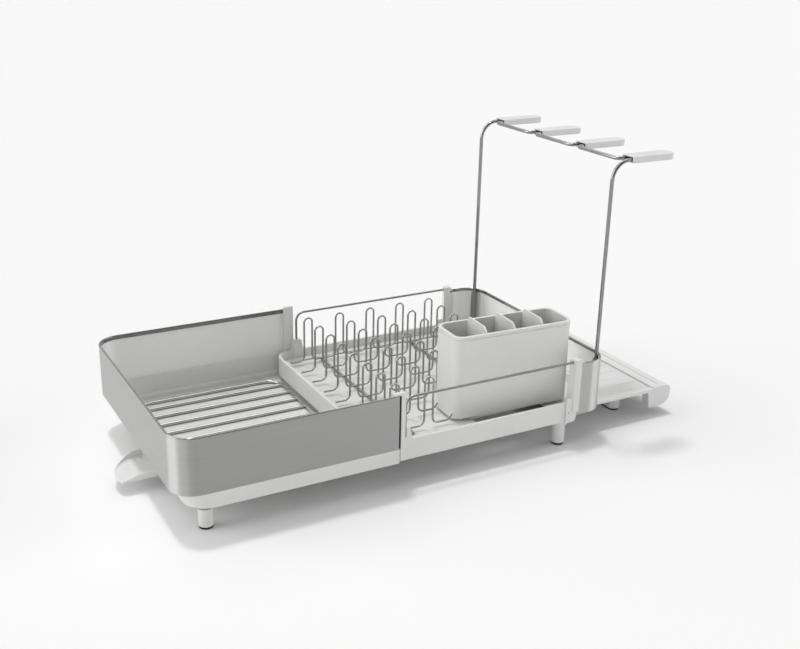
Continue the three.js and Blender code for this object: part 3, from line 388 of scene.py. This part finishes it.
def swept_band(name, node, body, stations, hem_thick, hem_high):
    low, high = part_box(node)
    bm = bmesh.new()
    rings = []
    for place, inward, hem in stations:
        section = hemmed_sheet(low.z, high.z, hem_thick * hem, hem_high)
        rings.append([bm.verts.new((*(place + inward * d), z)) for d, z, _ in section])
    for ring, following in zip(rings, rings[1:]):
        for i, (_, _, finish) in enumerate(section):
            j = (i + 1) % len(section)
            face = bm.faces.new((ring[i], ring[j], following[j], following[i]))
            face.material_index = finish
    bm.faces.new(rings[0][::-1])
    bm.faces.new(rings[-1])
    bmesh.ops.remove_doubles(bm, verts=bm.verts, dist=SAME_POINT)
    bmesh.ops.recalc_face_normals(bm, faces=bm.faces)
    # The hem edge's steel is painted dark and the inside's steel painted light, standing in for
    # what the sheet mirrors
    band = mesh_object(name, bm, (STEEL, STEEL_EDGE_PAINTED_DARK, STEEL_INSIDE_PAINTED_LIGHT))
    band.data.set_sharp_from_angle(angle=SHARP_EDGE)
    stand_for(band, node, body)


def outer_band():
    low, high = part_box("outer_steel_band")
    hem_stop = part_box("front_end_post")[0].x - EASE
    path = u_path(low.x, high.x - BAND_END_GAP, high.y, hem_stop)
    swept_band("outer_band_sheet", "outer_steel_band", "outer_rack", path, *OUTER_HEM)


def inner_band():
    low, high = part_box("inner_end_band")
    path = u_path(high.x, low.x, high.y, low.x + END_HEM_START)
    swept_band("inner_band_sheet", "inner_end_band", "inner_rack", path, *END_HEM)


# Painted shade: a thin black strip in the gap between the outer band's cut end and the end post
# stands in for the shadow in that gap
BAND_END_GAP = 2.6 * MM
GAP_SHADE_DEPTH_SHARE = 0.5           # of the sheet
GAP_SHADE_EDGE = 0.2 * MM
GAP_SHADE_EDGE_STEPS = 2


def gap_shade_strip(side):
    low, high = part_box("outer_steel_band")
    outside, inward = (low.y, 1) if side == "front" else (high.y, -1)
    size = Vector((BAND_END_GAP, SHEET * GAP_SHADE_DEPTH_SHARE, high.z - low.z - 4 * EASE))
    centre = Vector((high.x - size.x / 2, outside + inward * (SHEET - size.y / 2),
                     (low.z + high.z) / 2))
    bm = bmesh.new()
    bmesh.ops.create_cube(bm, size=1.0)
    for vert in bm.verts:
        vert.co = centre + vert.co * size
    bmesh.ops.bevel(bm, geom=bm.edges, offset=GAP_SHADE_EDGE, segments=GAP_SHADE_EDGE_STEPS,
                    affect="EDGES", profile=0.5)
    # The strip is painted shade, black rubber colour where the gap is only in shadow
    gap_shade = mesh_object(f"{side}_band_gap_shade", bm, (RUBBER,))
    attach(gap_shade, "outer_rack")


# Bent wires: smooth round tubes along straight runs and arcs, in place of the CAD's faceted ones
BEND_STEPS = 8
WIRE_SIDES = 4
SAME_PLACE = 0.02 * MM           # points of a wire nearer than this are one


def bent_route(corners, bend):
    """Points along a wire with rounded corners; a corner's fourth number is its own radius."""
    points = [Vector(corner[:3]) for corner in corners]
    radii = [corner[3] if len(corner) > 3 else bend for corner in corners]
    last = len(points) - 1
    route = [points[0]]
    for i in range(1, last):
        u = (points[i] - points[i - 1]).normalized()
        v = (points[i + 1] - points[i]).normalized()
        turn = u.angle(v)
        before = (points[i] - points[i - 1]).length / (1 if i == 1 else 2)
        after = (points[i + 1] - points[i]).length / (1 if i == last - 1 else 2)
        radius = min(radii[i], min(before, after) / math.tan(turn / 2))
        inward = (v - u * math.cos(turn)).normalized()
        start = points[i] - u * radius * math.tan(turn / 2)
        centre = start + inward * radius
        for k in range(BEND_STEPS + 1):
            angle = turn * k / BEND_STEPS
            point = centre - inward * radius * math.cos(angle) + u * radius * math.sin(angle)
            if (point - route[-1]).length > SAME_PLACE:
                route.append(point)
    route.append(points[last])
    return route


def wire_curve(name, routes, radius, material):
    """One curve of several wires; a route that ends where it starts becomes a closed ring."""
    data = bpy.data.curves.new(name, "CURVE")
    data.dimensions = "3D"
    data.bevel_depth = radius
    data.bevel_resolution = WIRE_SIDES
    data.use_fill_caps = True
    for route in routes:
        closed = (route[-1] - route[0]).length < SAME_PLACE
        places = route[:-1] if closed else route
        spline = data.splines.new("POLY")
        spline.points.add(len(places) - 1)
        for point, place in zip(spline.points, places):
            point.co = (*place, 1.0)
        spline.use_smooth = True
        spline.use_cyclic_u = closed
    data.materials.append(material)
    return new_object(name, data)


RAIL_BEND = 12 * MM
RAIL_RADIUS = 1.6 * MM


def rail(side):
    low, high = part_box(f"{side}_rail")
    x, y, z = low.x + RAIL_RADIUS, (low.y + high.y) / 2, high.z - RAIL_RADIUS
    route = bent_route([(x, y, low.z), (x, y, z), (high.x, y, z)], RAIL_BEND)
    wire = wire_curve(f"{side}_rail_wire", [route], RAIL_RADIUS, CHROME_WIRE_PAINTED_DARK)
    stand_for(wire, f"{side}_rail", "inner_rack")


MUG_RADIUS = 2.25 * MM
MUG_CORNER = 22 * MM
MUG_RODS = 10
MUG_ROD_INSET = 20 * MM          # between a side wire and the rod next to it


def mug_rack():
    low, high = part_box("mug_rack")
    z = (low.z + high.z) / 2
    left, right = low.x + MUG_RADIUS, high.x - MUG_RADIUS
    front, back = low.y + MUG_RADIUS, high.y - MUG_RADIUS
    middle = (left + right) / 2
    ring = bent_route([(middle, front, z), (right, front, z), (right, back, z), (left, back, z),
                       (left, front, z), (middle, front, z)], MUG_CORNER)
    pitch_sum = back - front - 2 * MUG_ROD_INSET
    rods = []
    for i in range(MUG_RODS):
        y = front + MUG_ROD_INSET + i * pitch_sum / (MUG_RODS - 1)
        rods.append([Vector((left, y, z)), Vector((right, y, z))])
    wires = wire_curve("mug_rack_wires", [ring, *rods], MUG_RADIUS, BRIGHT_WIRE)
    stand_for(wires, "mug_rack", "outer_rack")


TINE_RADIUS = 1.3 * MM
TINE_TAIL = 26 * MM              # wire left and right of the loops, from a loop's centre
TINE_LOOP = 12 * MM              # between the two legs of a loop
TINE_BEND = 8 * MM
TINE_COLUMNS = 5
SHORT_COLUMNS = 2
TIP_RUN, TIP_RISE = 6 * MM, 7 * MM


def tine_row(row):
    """A full row, or a short one in front of which the utensil holder stands."""
    full_low, full_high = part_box("plate_rack_row_3")
    low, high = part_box(f"plate_rack_row_{row}")
    y = (low.y + high.y) / 2
    bottom, top = full_low.z + TINE_RADIUS, full_high.z - TINE_RADIUS
    pitch = (full_high.x - full_low.x - 2 * TINE_TAIL) / (TINE_COLUMNS - 1)
    short = row in SHORT_ROWS
    corners = [(low.x, y, bottom)]
    for column in range(SHORT_COLUMNS if short else TINE_COLUMNS):
        x = full_low.x + TINE_TAIL + column * pitch
        for step, z in ((-1, bottom), (-1, top), (1, top), (1, bottom)):
            corners.append((x + step * TINE_LOOP / 2, y, z))
    if short:
        end = high.x - TINE_RADIUS
        corners += [(end - TIP_RUN, y, bottom), (end, y, bottom + TIP_RISE)]
    else:
        corners.append((high.x, y, bottom))
    route = bent_route(corners, TINE_BEND)
    tines = wire_curve(f"plate_rack_tines_{row}", [route], TINE_RADIUS, SATIN_WIRE_PAINTED_DARK)
    stand_for(tines, f"plate_rack_row_{row}", "inner_rack")


def straight_wire(name):
    """The cross or back wire that the rows lie on, along the longer side of its box."""
    low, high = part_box(name)
    axis = 0 if high.x - low.x > high.y - low.y else 1
    ends = [(low + high) / 2, (low + high) / 2]
    for end, place in zip(ends, (low, high)):
        end[axis] = place[axis]
    wire = wire_curve(f"{name}_round", [ends], (high.z - low.z) / 2, SATIN_WIRE_PAINTED_DARK)
    stand_for(wire, name, "inner_rack")


GLASS_RADIUS = 2.5 * MM
GLASS_BEND = 8 * MM
GLASS_POST_BEND = 24 * MM
GLASS_JOG = 5 * MM               # the runs between fingers, right of the end band's face
FINGER_GAP = 12.6 * MM           # between the two wires of a finger


def stemware_rack():
    low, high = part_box("glass_rack_wire")
    post_x, finger_end = low.x + GLASS_RADIUS, high.x - GLASS_RADIUS
    front, back = low.y + GLASS_RADIUS, high.y - GLASS_RADIUS
    top = high.z - GLASS_RADIUS
    jog_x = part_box("inner_end_band")[1].x + GLASS_JOG
    corners = [(post_x, front, low.z), (post_x, front, top, GLASS_POST_BEND)]
    for finger in FINGERS:
        sleeve_low, sleeve_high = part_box(f"glass_rack_sleeve_{finger}")
        y = (sleeve_low.y + sleeve_high.y) / 2
        near, far = y - FINGER_GAP / 2, y + FINGER_GAP / 2
        if finger != FINGERS[0]:
            corners.append((jog_x, near, top))
        corners += [(finger_end, near, top), (finger_end, far, top)]
        if finger != FINGERS[-1]:
            corners.append((jog_x, far, top))
    corners += [(post_x, back, top, GLASS_POST_BEND), (post_x, back, low.z)]
    route = bent_route(corners, GLASS_BEND)
    wire = wire_curve("glass_rack_bent_wire", [route], GLASS_RADIUS, CHROME_WIRE_PAINTED_DARK)
    stand_for(wire, "glass_rack_wire", "stemware_rack")


# Stage: floor, backdrop, light and camera
BACKGROUND = (0.945, 0.945, 0.945)
FLOOR_HALF = 40.0
FLOOR_COLOUR = (0.92, 0.92, 0.92)
SKY_COLOUR = (1.0, 1.0, 1.0)
SKY_LIGHT = 0.12
ROOM_FRONT = (-0.04, -1.0, 0.0)
ROOM_DARK = (0.1, 0.1, 0.1)
ROOM_EDGES = (0.64, 0.94)
ROOM_SQUASH = (1.0, 1.0, 0.25)

# Far, soft lights: direction that they come from, spread in degrees, power, and whether metal
# mirrors them
Lamp = namedtuple("Lamp", "name towards spread power in_metal", defaults=(True,))
LAMPS = (
    Lamp("key", (-0.01, 0.22, 1.0), 6, 0.95),
    Lamp("canopy", (-0.1, 0.25, 1.0), 80, 1.12),
    Lamp("left", (-0.95, 0.34, 0.27), 56, 1.8),
    Lamp("front", (-0.4, -1.0, 0.1), 50, 0.78, in_metal=False),
    Lamp("right", (1.0, -0.45, 0.2), 50, 1.15),
)

# Camera at the photograph's viewing angle
CAMERA_PLACE = Vector((-0.62653, -1.15796, 0.63413))
CAMERA_YAW, CAMERA_PITCH, CAMERA_ROLL = (math.radians(a) for a in (29.10, 20.48, 1.229))
CAMERA_LENS = 48.41
CAMERA_CLIP = (0.05, 50)


def seen_directly(tree, path):
    """1 for rays from the camera, in a reflection or through glass."""
    total = path.outputs["Is Camera Ray"]
    for name in ("Is Glossy Ray", "Is Transmission Ray"):
        add = tree.nodes.new("ShaderNodeMath")
        add.operation = "ADD"
        add.use_clamp = True
        tree.links.new(total, add.inputs[0])
        tree.links.new(path.outputs[name], add.inputs[1])
        total = add.outputs[0]
    return total


def stage_floor():
    half = FLOOR_HALF
    corners = [(-half, -half, 0), (half, -half, 0), (half, half, 0), (-half, half, 0)]
    mesh = bpy.data.meshes.new("floor")
    mesh.from_pydata(corners, [], [tuple(range(len(corners)))])
    floor = new_object("floor", mesh)
    material = bpy.data.materials.new("floor")
    material.use_nodes = True
    tree = material.node_tree
    tree.nodes.clear()
    output = tree.nodes.new("ShaderNodeOutputMaterial")
    diffuse = tree.nodes.new("ShaderNodeBsdfDiffuse")
    diffuse.inputs["Color"].default_value = (*FLOOR_COLOUR, 1)
    tree.links.new(diffuse.outputs[0], output.inputs["Surface"])
    mesh.materials.append(material)


def vector_math(tree, operation, source, value=None):
    node = tree.nodes.new("ShaderNodeVectorMath")
    node.operation = operation
    tree.links.new(source, node.inputs[0])
    if value is not None:
        node.inputs[1].default_value = value
    return node.outputs


def room(tree):
    """The backdrop's colour as metal mirrors it, darker towards the unlit front of the room."""
    place = tree.nodes.new("ShaderNodeTexCoord").outputs["Generated"]
    squashed = vector_math(tree, "MULTIPLY", place, ROOM_SQUASH)[0]
    unit = vector_math(tree, "NORMALIZE", squashed)[0]
    front = Vector(ROOM_FRONT).normalized()
    facing = vector_math(tree, "DOT_PRODUCT", unit, front)["Value"]
    ramp = tree.nodes.new("ShaderNodeValToRGB")
    ramp.color_ramp.interpolation = "EASE"
    for stop, at, colour in zip(ramp.color_ramp.elements, ROOM_EDGES, (BACKGROUND, ROOM_DARK)):
        stop.position = at
        stop.color = (*colour, 1)
    tree.links.new(facing, ramp.inputs["Fac"])
    return ramp.outputs["Color"]


def background(tree, colour=BACKGROUND, strength=1.0):
    node = tree.nodes.new("ShaderNodeBackground")
    node.inputs["Color"].default_value = (*colour, 1)
    node.inputs["Strength"].default_value = strength
    return node


def mixed(tree, fac, first, second):
    mix = tree.nodes.new("ShaderNodeMixShader")
    for source, target in zip((fac, first.outputs[0], second.outputs[0]), mix.inputs):
        tree.links.new(source, target)
    return mix


def stage_world():
    """A weak even sky, the room in metal and glass, and the plain backdrop for the camera."""
    world = bpy.data.worlds.new("studio")
    bpy.context.scene.world = world
    world.use_nodes = True
    tree = world.node_tree
    tree.nodes.clear()
    path = tree.nodes.new("ShaderNodeLightPath")
    mirrored = background(tree)
    tree.links.new(room(tree), mirrored.inputs["Color"])
    sky = background(tree, SKY_COLOUR, SKY_LIGHT)
    lit = mixed(tree, seen_directly(tree, path), sky, mirrored)
    in_view = mixed(tree, path.outputs["Is Camera Ray"], lit, background(tree))
    output = tree.nodes.new("ShaderNodeOutputWorld")
    tree.links.new(in_view.outputs[0], output.inputs["Surface"])


def stage_lamp(lamp):
    data = bpy.data.lights.new(lamp.name, "SUN")
    data.energy = lamp.power
    data.angle = math.radians(lamp.spread)
    obj = new_object(lamp.name, data)
    obj.rotation_mode = "QUATERNION"
    obj.rotation_quaternion = (-Vector(lamp.towards)).to_track_quat("-Z", "Y")
    obj.visible_glossy = lamp.in_metal


def stage_camera():
    data = bpy.data.cameras.new("camera")
    data.lens = CAMERA_LENS
    data.clip_start, data.clip_end = CAMERA_CLIP
    camera = new_object("camera", data)
    bpy.context.scene.camera = camera
    forward = Vector((math.sin(CAMERA_YAW) * math.cos(CAMERA_PITCH),
                      math.cos(CAMERA_YAW) * math.cos(CAMERA_PITCH), -math.sin(CAMERA_PITCH)))
    level = Vector((math.cos(CAMERA_YAW), -math.sin(CAMERA_YAW), 0))
    upright = level.cross(forward)
    right = level * math.cos(CAMERA_ROLL) + upright * math.sin(CAMERA_ROLL)
    up = upright * math.cos(CAMERA_ROLL) - level * math.sin(CAMERA_ROLL)
    turn = Matrix((right, up, -forward)).transposed()
    camera.matrix_world = Matrix.Translation(CAMERA_PLACE) @ turn.to_4x4()


keep_cad_nodes()
outer_band()
inner_band()
for side in SIDES:
    gap_shade_strip(side)
for side in SIDES:
    rail(side)
mug_rack()
for row in ROWS:
    tine_row(row)
for name in ("left_cross_wire", "right_cross_wire", "back_wire"):
    straight_wire(f"plate_rack_{name}")
stemware_rack()

stage_world()
stage_floor()
for lamp in LAMPS:
    stage_lamp(lamp)
stage_camera()
bpy.context.scene.view_settings.view_transform = "Standard"
